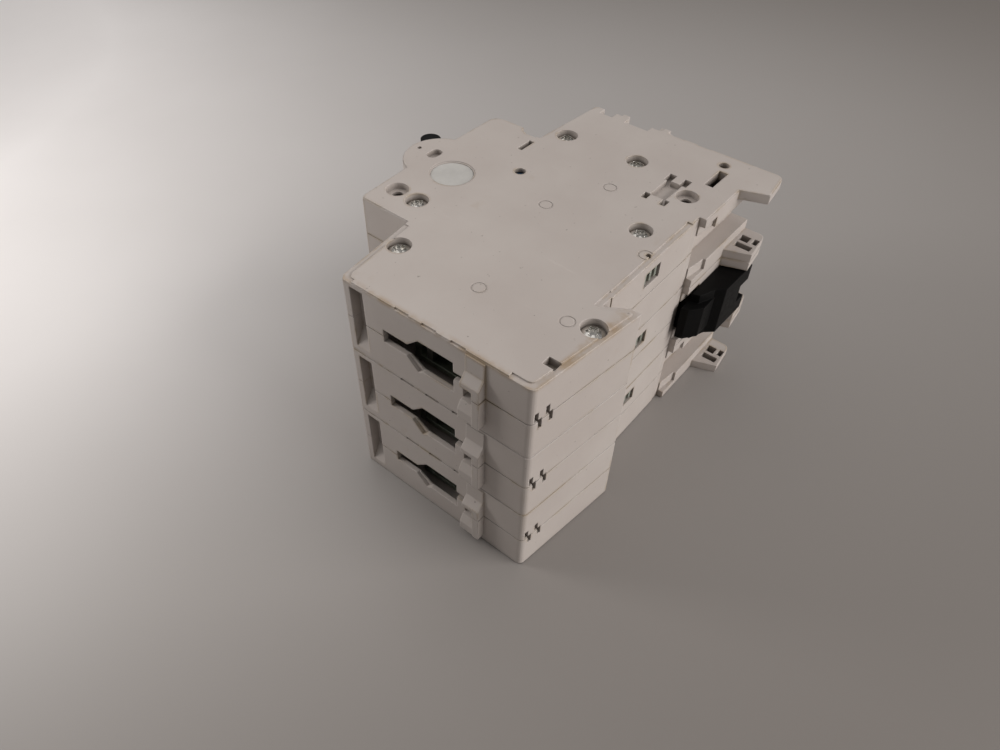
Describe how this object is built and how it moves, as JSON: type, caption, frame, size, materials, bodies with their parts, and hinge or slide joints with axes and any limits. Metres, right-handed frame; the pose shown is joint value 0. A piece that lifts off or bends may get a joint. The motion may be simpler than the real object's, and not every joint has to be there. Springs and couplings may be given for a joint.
{
  "type": "miniature circuit breaker",
  "caption": "Modular miniature circuit breaker for a top-hat rail, with joined toggles, cage-clamp terminals, a sliding rail clip and its trip mechanism inside.",
  "frame": {"origin": "below the middle of the part's box, on the plane on which the side wall of pole 3 lies", "axes": "+X from load end to line end, -Y towards the toggles, +Y towards the rail, +Z along the stack of poles, up as in the picture"},
  "size_m": [0.0884, 0.077, 0.0525],
  "materials": {
    "housing_plastic": "satin moulded",
    "toggle_plastic": "satin",
    "clip_plastic": "satin",
    "coupler_plastic": "satin",
    "plated_steel": "bright plated",
    "zinc_steel": "yellow zinc",
    "copper": "bare copper",
    "trip_plastic": "satin",
    "bobbin_plastic": "satin",
    "bare_steel": "bare",
    "bimetal_strip": "rolled",
    "fibre_board": "pressed fibre"
  },
  "bodies": {
    "housing": {"base_shell_1": "housing_plastic", "base_shell_2": "housing_plastic", "base_shell_3": "housing_plastic", "cover_shell_1": "housing_plastic", "cover_shell_2": "housing_plastic", "cover_shell_3": "housing_plastic", "case_screws": "plated_steel", "case_nuts": "plated_steel", "toggle_springs": "plated_steel", "contact_springs": "plated_steel", "fixed_contact_1": "copper", "fixed_contact_2": "copper", "fixed_contact_3": "copper", "magnet_coil_1": "copper", "magnet_coil_2": "copper", "magnet_coil_3": "copper", "coil_bobbins": "bobbin_plastic", "coil_yokes": "bare_steel", "bimetal_1": "bimetal_strip", "bimetal_2": "bimetal_strip", "bimetal_3": "bimetal_strip", "braids": "copper", "arc_plates_1": "bare_steel", "arc_plates_2": "bare_steel", "arc_plates_3": "bare_steel", "arc_chute_frames": "fibre_board", "line_straps": "copper", "load_straps": "copper"},
    "handle": {"toggle_1": "toggle_plastic", "toggle_2": "toggle_plastic", "toggle_3": "toggle_plastic", "handle_couplers": "coupler_plastic", "handle_tie_rod": "plated_steel"},
    "link_1": {"link_1": "plated_steel"},
    "arm_1": {"contact_arm_1": "copper"},
    "link_2": {"link_2": "plated_steel"},
    "arm_2": {"contact_arm_2": "copper"},
    "link_3": {"link_3": "plated_steel"},
    "arm_3": {"contact_arm_3": "copper"},
    "trip": {"trip_lever_1": "trip_plastic", "trip_lever_2": "trip_plastic", "trip_lever_3": "trip_plastic", "trip_bar": "trip_plastic"},
    "plunger_1": {"plunger_1": "bare_steel"},
    "plunger_2": {"plunger_2": "bare_steel"},
    "plunger_3": {"plunger_3": "bare_steel"},
    "screw_line_1": {"terminal_screw_line_1": "zinc_steel"},
    "clamp_line_1": {"clamp_line_1": "zinc_steel"},
    "screw_line_2": {"terminal_screw_line_2": "zinc_steel"},
    "clamp_line_2": {"clamp_line_2": "zinc_steel"},
    "screw_line_3": {"terminal_screw_line_3": "zinc_steel"},
    "clamp_line_3": {"clamp_line_3": "zinc_steel"},
    "screw_load_1": {"terminal_screw_load_1": "zinc_steel"},
    "clamp_load_1": {"clamp_load_1": "zinc_steel"},
    "screw_load_2": {"terminal_screw_load_2": "zinc_steel"},
    "clamp_load_2": {"clamp_load_2": "zinc_steel"},
    "screw_load_3": {"terminal_screw_load_3": "zinc_steel"},
    "clamp_load_3": {"clamp_load_3": "zinc_steel"},
    "rail_clip": {"din_clip": "clip_plastic"}
  },
  "joints": [
    {"name": "toggle_swing", "type": "hinge", "parent": "housing", "child": "handle", "pos_m": [0.0032, -0.01705, 0.02625], "axis": [0, 0, 1], "range_deg": [0, 72]},
    {"name": "link_turn_1", "type": "hinge", "parent": "handle", "child": "link_1", "pos_m": [0.0059, -0.01333, 0.04375], "axis": [0, 0, 1], "range_deg": [-72, 0]},
    {"name": "arm_swing_1", "type": "hinge", "parent": "housing", "child": "arm_1", "pos_m": [-0.0138, -0.00095, 0.04375], "axis": [0, 0, 1], "range_deg": [-26, 0]},
    {"name": "link_turn_2", "type": "hinge", "parent": "handle", "child": "link_2", "pos_m": [0.0059, -0.01333, 0.02625], "axis": [0, 0, 1], "range_deg": [-72, 0]},
    {"name": "arm_swing_2", "type": "hinge", "parent": "housing", "child": "arm_2", "pos_m": [-0.0138, -0.00095, 0.02625], "axis": [0, 0, 1], "range_deg": [-26, 0]},
    {"name": "link_turn_3", "type": "hinge", "parent": "handle", "child": "link_3", "pos_m": [0.0059, -0.01333, 0.00875], "axis": [0, 0, 1], "range_deg": [-72, 0]},
    {"name": "arm_swing_3", "type": "hinge", "parent": "housing", "child": "arm_3", "pos_m": [-0.0138, -0.00095, 0.00875], "axis": [0, 0, 1], "range_deg": [-26, 0]},
    {"name": "trip_turn", "type": "hinge", "parent": "housing", "child": "trip", "pos_m": [-0.0069, -0.00665, 0.02625], "axis": [0, 0, 1], "range_deg": [0, 6], "stiffness_Nm_per_rad": 0.05},
    {"name": "plunger_slide_1", "type": "slide", "parent": "housing", "child": "plunger_1", "axis": [-1, 0, 0], "range_m": [0, 0.0025], "stiffness_N_per_m": 100},
    {"name": "plunger_slide_2", "type": "slide", "parent": "housing", "child": "plunger_2", "axis": [-1, 0, 0], "range_m": [0, 0.0025], "stiffness_N_per_m": 100},
    {"name": "plunger_slide_3", "type": "slide", "parent": "housing", "child": "plunger_3", "axis": [-1, 0, 0], "range_m": [0, 0.0025], "stiffness_N_per_m": 100},
    {"name": "screw_turn_line_1", "type": "hinge", "parent": "housing", "child": "screw_line_1", "pos_m": [0.035, -0.00315, 0.04375], "axis": [0, 1, 0], "range_deg": [0, 2700]},
    {"name": "clamp_rise_line_1", "type": "slide", "parent": "housing", "child": "clamp_line_1", "axis": [0, -1, 0], "range_m": [0, 0.006]},
    {"name": "screw_turn_line_2", "type": "hinge", "parent": "housing", "child": "screw_line_2", "pos_m": [0.035, -0.00315, 0.02625], "axis": [0, 1, 0], "range_deg": [0, 2700]},
    {"name": "clamp_rise_line_2", "type": "slide", "parent": "housing", "child": "clamp_line_2", "axis": [0, -1, 0], "range_m": [0, 0.006]},
    {"name": "screw_turn_line_3", "type": "hinge", "parent": "housing", "child": "screw_line_3", "pos_m": [0.035, -0.00315, 0.00875], "axis": [0, 1, 0], "range_deg": [0, 2700]},
    {"name": "clamp_rise_line_3", "type": "slide", "parent": "housing", "child": "clamp_line_3", "axis": [0, -1, 0], "range_m": [0, 0.006]},
    {"name": "screw_turn_load_1", "type": "hinge", "parent": "housing", "child": "screw_load_1", "pos_m": [-0.035, -0.00315, 0.04375], "axis": [0, 1, 0], "range_deg": [0, 2700]},
    {"name": "clamp_rise_load_1", "type": "slide", "parent": "housing", "child": "clamp_load_1", "axis": [0, -1, 0], "range_m": [0, 0.006]},
    {"name": "screw_turn_load_2", "type": "hinge", "parent": "housing", "child": "screw_load_2", "pos_m": [-0.035, -0.00315, 0.02625], "axis": [0, 1, 0], "range_deg": [0, 2700]},
    {"name": "clamp_rise_load_2", "type": "slide", "parent": "housing", "child": "clamp_load_2", "axis": [0, -1, 0], "range_m": [0, 0.006]},
    {"name": "screw_turn_load_3", "type": "hinge", "parent": "housing", "child": "screw_load_3", "pos_m": [-0.035, -0.00315, 0.00875], "axis": [0, 1, 0], "range_deg": [0, 2700]},
    {"name": "clamp_rise_load_3", "type": "slide", "parent": "housing", "child": "clamp_load_3", "axis": [0, -1, 0], "range_m": [0, 0.006]},
    {"name": "clip_slide", "type": "slide", "parent": "housing", "child": "rail_clip", "axis": [-1, 0, 0], "range_m": [0, 0.004], "stiffness_N_per_m": 1500}
  ],
  "couplings": [
    {"joint": "link_turn_1", "follows": "toggle_swing", "ratio": -1},
    {"joint": "arm_swing_1", "follows": "toggle_swing", "ratio": -0.36111},
    {"joint": "link_turn_2", "follows": "toggle_swing", "ratio": -1},
    {"joint": "arm_swing_2", "follows": "toggle_swing", "ratio": -0.36111},
    {"joint": "link_turn_3", "follows": "toggle_swing", "ratio": -1},
    {"joint": "arm_swing_3", "follows": "toggle_swing", "ratio": -0.36111},
    {"joint": "screw_turn_line_1", "follows": "clamp_rise_line_1", "rad_per_m": 7854},
    {"joint": "screw_turn_line_2", "follows": "clamp_rise_line_2", "rad_per_m": 7854},
    {"joint": "screw_turn_line_3", "follows": "clamp_rise_line_3", "rad_per_m": 7854},
    {"joint": "screw_turn_load_1", "follows": "clamp_rise_load_1", "rad_per_m": 7854},
    {"joint": "screw_turn_load_2", "follows": "clamp_rise_load_2", "rad_per_m": 7854},
    {"joint": "screw_turn_load_3", "follows": "clamp_rise_load_3", "rad_per_m": 7854}
  ]
}
